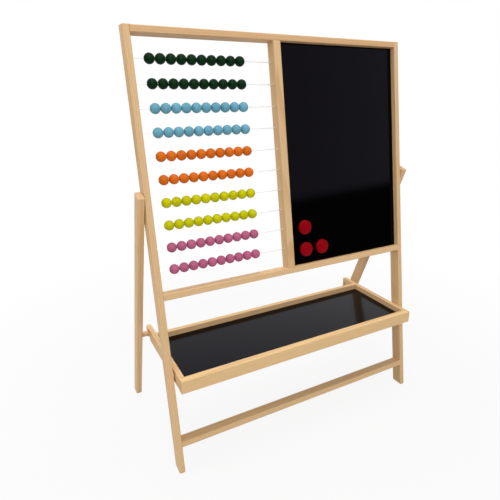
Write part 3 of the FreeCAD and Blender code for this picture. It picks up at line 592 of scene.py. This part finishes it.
def pick(piece, kind, wanted):
    """Select only the vertices, edges or faces in edit mode that a test accepts."""
    bpy.ops.mesh.select_all(action="DESELECT")
    bpy.ops.mesh.select_mode(type=kind)
    mesh = bmesh.from_edit_mesh(piece.data)
    for item in {"VERT": mesh.verts, "EDGE": mesh.edges, "FACE": mesh.faces}[kind]:
        if wanted(item):
            item.select_set(True)
    mesh.select_flush_mode()
    bmesh.update_edit_mesh(piece.data)


def apply_modifier(piece, kind, **settings):
    """Add a modifier with its settings, and apply it."""
    made = piece.modifiers.new(kind.title(), kind)
    for name, value in settings.items():
        setattr(made, name, value)
    bpy.ops.object.modifier_apply(modifier=made.name)


def bead_row(number, material):
    """Ten turned beads: a ball with its poles on the wire, drilled and softened at the
    holes, then repeated along the wire."""
    node = f"bead_row_{number:02d}"
    low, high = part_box(node)
    middle = (Vector(low) + Vector(high)) / 2
    first = Vector((middle.x - BEAD_PITCH * (BEAD_COUNT - 1) / 2, middle.y, middle.z))
    clear_selection()
    bpy.ops.mesh.primitive_uv_sphere_add(
        segments=BEAD_SEGMENTS, ring_count=BEAD_RINGS, radius=BEAD_RADIUS,
        location=first, rotation=(0.0, UPRIGHT, 0.0))
    bead = bpy.context.object
    bead.name = f"beads_turned_{number:02d}"
    bpy.ops.object.transform_apply(location=True, rotation=True, scale=True)
    bpy.ops.object.mode_set(mode="EDIT")
    pole = AT_LIMIT * BEAD_RADIUS
    pick(bead, "VERT", lambda vertex: abs(vertex.co.x - first.x) > pole)
    bpy.ops.mesh.delete(type="VERT")
    pick(bead, "EDGE", lambda edge: edge.is_boundary)
    rim = BEAD_RADIUS * math.sin(math.pi / BEAD_RINGS)
    bpy.ops.mesh.extrude_region_move()
    narrow = BORE_RADIUS * BORE_EASE / rim
    bpy.ops.transform.resize(value=(BORE_END, narrow, narrow), center_override=first)
    bpy.ops.mesh.bridge_edge_loops()
    bpy.ops.mesh.select_all(action="SELECT")
    bpy.ops.mesh.normals_make_consistent(inside=False)
    bpy.ops.object.mode_set(mode="OBJECT")
    apply_modifier(bead, "SUBSURF", levels=1, render_levels=1)
    apply_modifier(bead, "ARRAY", count=BEAD_COUNT, use_relative_offset=False,
                   use_constant_offset=True, constant_offset_displace=(BEAD_PITCH, 0, 0))
    bpy.ops.object.shade_smooth_by_angle(angle=BEAD_CREASE)
    bead.data.materials.append(material)
    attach(bead, f"beads_{number:02d}")
    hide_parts(node)


def magnet_cap(number, material):
    """A moulded cap: a rounded rim, a low dome inside it, and a recess for the disc."""
    node = f"magnet_cap_{number}"
    low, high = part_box(node)
    outward = Vector((0.0, -math.cos(LEAN), math.sin(LEAN)))
    base = (Vector(low) + Vector(high)) / 2 - outward * CAP_DOME / 2
    clear_selection()
    bpy.ops.mesh.primitive_cylinder_add(
        vertices=CAP_SEGMENTS, radius=CAP_RADIUS, depth=CAP_RIM,
        location=(0.0, 0.0, CAP_RIM / 2))
    cap = bpy.context.object
    cap.name = f"magnet_shell_{number}"
    bpy.ops.object.transform_apply(location=True, rotation=True, scale=True)
    bpy.ops.object.mode_set(mode="EDIT")
    pick(cap, "EDGE", lambda edge: all(v.co.z > CAP_RIM * NEAR_LIMIT for v in edge.verts))
    bpy.ops.mesh.bevel(offset=RIM_ROUND, segments=6, profile=0.5, affect="EDGES")
    pick(cap, "FACE", lambda face: face.calc_center_median().z > CAP_RIM * AT_LIMIT)
    bpy.ops.mesh.inset(thickness=RIM_FLAT)
    flat = CAP_RADIUS - RIM_ROUND - RIM_FLAT
    for step in range(DOME_STEPS):
        outer = 1 - step / (DOME_STEPS + 1)
        inner = 1 - (step + 1) / (DOME_STEPS + 1)
        rise = (outer ** 2 - inner ** 2) * (CAP_DOME - CAP_RIM) * DOME_SHARE
        bpy.ops.mesh.inset(thickness=flat / (DOME_STEPS + 1))
        bpy.ops.transform.translate(value=(0.0, 0.0, rise))
    pick(cap, "FACE", lambda face: face.normal.z < -NEAR_LIMIT)
    bpy.ops.mesh.inset(thickness=CAP_RADIUS - DISC_RADIUS)
    bpy.ops.mesh.extrude_region_move(TRANSFORM_OT_translate={"value": (0, 0, DISC_DEPTH)})
    bpy.ops.mesh.select_all(action="SELECT")
    bpy.ops.mesh.normals_make_consistent(inside=False)
    bpy.ops.object.mode_set(mode="OBJECT")
    cap.rotation_euler = (UPRIGHT - LEAN, 0.0, 0.0)
    cap.location = base
    bpy.ops.object.transform_apply(location=True, rotation=True, scale=True)
    bpy.ops.object.shade_smooth_by_angle(angle=CAP_CREASE)
    cap.data.materials.append(material)
    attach(cap, f"magnet_{number}")
    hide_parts(node)


def model_pieces():
    """Make the rows of beads, two of each lacquer, and the caps of the magnets."""
    lacquers = {}
    for number, (name, code) in enumerate(ROW_COLOURS, start=1):
        if name not in lacquers:
            lacquers[name] = lacquered_bead(f"lacquer_{name}", code)
        bead_row(number, lacquers[name])
    red = moulded_abs("red_abs", "87000B", "93010D")
    for number in MAGNETS:
        magnet_cap(number, red)


# ---- studio ------------------------------------------------------------------

FLOOR_RADIUS = 5.0
FLOOR_SEGMENTS = 96
# The feet stand a hair above the floor.
FLOOR_DROP = 0.4 * MM
# Near the easel this share of the floor is plain white and the rest is lit paper, which
# takes the shadow. Between the two distances from the middle it fades to all white.
WHITE_NEAR = 0.90
FADE_BEGINS = 0.5
FADE_ENDS = 1.6
# The world's glow on the easel, and the heights between which its dark underside turns
# white in reflections.
AMBIENT = 0.40
DARK_ENDS = 0.055
WHITE_BEGINS = 0.075
# Each softbox: its place, the point that it looks at, its side and its power in watts.
SOFTBOXES = [
    ("overhead_softbox", (-0.3, 0.5, 4.6), (0.0, 0.0, 0.5), 2.6, 125.0),
    ("front_softbox", (-1.2, -3.7, 3.3), (0.0, 0.0, 0.5), 2.2, 98.0),
    ("side_softbox", (-3.2, 0.9, 1.6), (0.0, 0.0, 0.6), 1.6, 18.0),
]
CAMERA_PLACE = (-0.6328, -1.0291, 0.9169)
CAMERA_TURN = (math.radians(69.94), 0.0, math.radians(-28.04))
# The sensor's width and the lens's focal length are in millimetres, as the camera has
# them.
SENSOR_WIDTH = 36.0
FOCAL_LENGTH = 31.3


def pale_floor():
    """A round white floor: lit paper near the easel, fading to plain white far off."""
    clear_selection()
    bpy.ops.mesh.primitive_circle_add(
        vertices=FLOOR_SEGMENTS, radius=FLOOR_RADIUS, fill_type="NGON",
        location=(0.0, 0.0, -FLOOR_DROP))
    floor = bpy.context.object
    floor.name = "studio_floor"
    bpy.ops.object.transform_apply(location=True, rotation=True, scale=True)
    material, tree, shader = new_material("studio_paper", {
        "Base Color": linear("C0C0C0"), "Roughness": 1.0, "Specular IOR Level": 0.0})
    output = next(node for node in tree.nodes if node.type == "OUTPUT_MATERIAL")
    white = add(tree, "ShaderNodeEmission", {"Strength": 1.0})
    place = add(tree, "ShaderNodeTexCoord")
    away = add(tree, "ShaderNodeVectorMath", links={0: place.outputs["Object"]},
               operation="LENGTH")
    plain = add(tree, "ShaderNodeMapRange", {"From Min": FADE_BEGINS,
                "From Max": FADE_ENDS, "To Min": WHITE_NEAR, "To Max": 1.0},
                {"Value": away.outputs["Value"]}, interpolation_type="SMOOTHSTEP")
    rays = add(tree, "ShaderNodeLightPath")
    seen = add(tree, "ShaderNodeMath", links={0: rays.outputs["Is Camera Ray"],
               1: rays.outputs["Is Glossy Ray"]}, operation="MAXIMUM")
    shown = add(tree, "ShaderNodeMath", links={0: seen.outputs["Value"],
                1: rays.outputs["Is Transmission Ray"]}, operation="MAXIMUM")
    share = add(tree, "ShaderNodeMath", links={0: shown.outputs["Value"],
                1: plain.outputs["Result"]}, operation="MULTIPLY")
    both = add(tree, "ShaderNodeMixShader", links={"Fac": share.outputs["Value"],
               1: shader.outputs["BSDF"], 2: white.outputs["Emission"]})
    tree.links.new(both.outputs["Shader"], output.inputs["Surface"])
    floor.data.materials.append(material)


def white_room():
    """A world that looks white, glows softly on the easel, and is dark under the floor's
    level in reflections, as past the edge of a studio floor."""
    world = bpy.data.worlds.new("studio")
    bpy.context.scene.world = world
    world.use_nodes = True
    tree = world.node_tree
    tree.nodes.clear()
    place = add(tree, "ShaderNodeTexCoord")
    spot = add(tree, "ShaderNodeSeparateXYZ",
               links={"Vector": place.outputs["Generated"]})
    above = add(tree, "ShaderNodeMapRange", {"From Min": DARK_ENDS,
                "From Max": WHITE_BEGINS}, {"Value": spot.outputs["Z"]})
    rays = add(tree, "ShaderNodeLightPath")
    mirror = add(tree, "ShaderNodeMath", links={0: rays.outputs["Is Glossy Ray"],
                 1: rays.outputs["Is Transmission Ray"]}, operation="MAXIMUM")
    mirrored = add(tree, "ShaderNodeMix", {"A": AMBIENT},
                   {"Factor": mirror.outputs["Value"], "B": above.outputs["Result"]})
    strength = add(tree, "ShaderNodeMix", {"B": 1.0},
                   {"Factor": rays.outputs["Is Camera Ray"],
                    "A": mirrored.outputs["Result"]})
    glow = add(tree, "ShaderNodeBackground", {"Color": (1, 1, 1, 1)},
               {"Strength": strength.outputs["Result"]})
    add(tree, "ShaderNodeOutputWorld", links={"Surface": glow.outputs["Background"]})


def softbox(name, place, aim, size, power):
    """A square soft lamp that looks at a point."""
    lamp = bpy.data.lights.new(name, "AREA")
    lamp.shape = "SQUARE"
    lamp.size = size
    lamp.energy = power
    holder = bpy.data.objects.new(name, lamp)
    holder.location = place
    sight = Vector(aim) - Vector(place)
    holder.rotation_euler = sight.to_track_quat("-Z", "Y").to_euler()
    bpy.context.scene.collection.objects.link(holder)


def viewpoint():
    """The camera: at the front left, a little lower than the easel's top, looking down."""
    lens = bpy.data.cameras.new("viewpoint")
    lens.sensor_width = SENSOR_WIDTH
    lens.lens = FOCAL_LENGTH
    camera = bpy.data.objects.new("viewpoint", lens)
    camera.location = CAMERA_PLACE
    camera.rotation_euler = CAMERA_TURN
    bpy.context.scene.collection.objects.link(camera)
    bpy.context.scene.camera = camera


def studio():
    """A floor, a world, three softboxes and the camera."""
    pale_floor()
    white_room()
    for softbox_facts in SOFTBOXES:
        softbox(*softbox_facts)
    viewpoint()
    bpy.context.scene.view_settings.view_transform = "Standard"


bpy.ops.object.select_all(action="DESELECT")
dress_timber()
dress_metal_and_boards()
model_pieces()
studio()
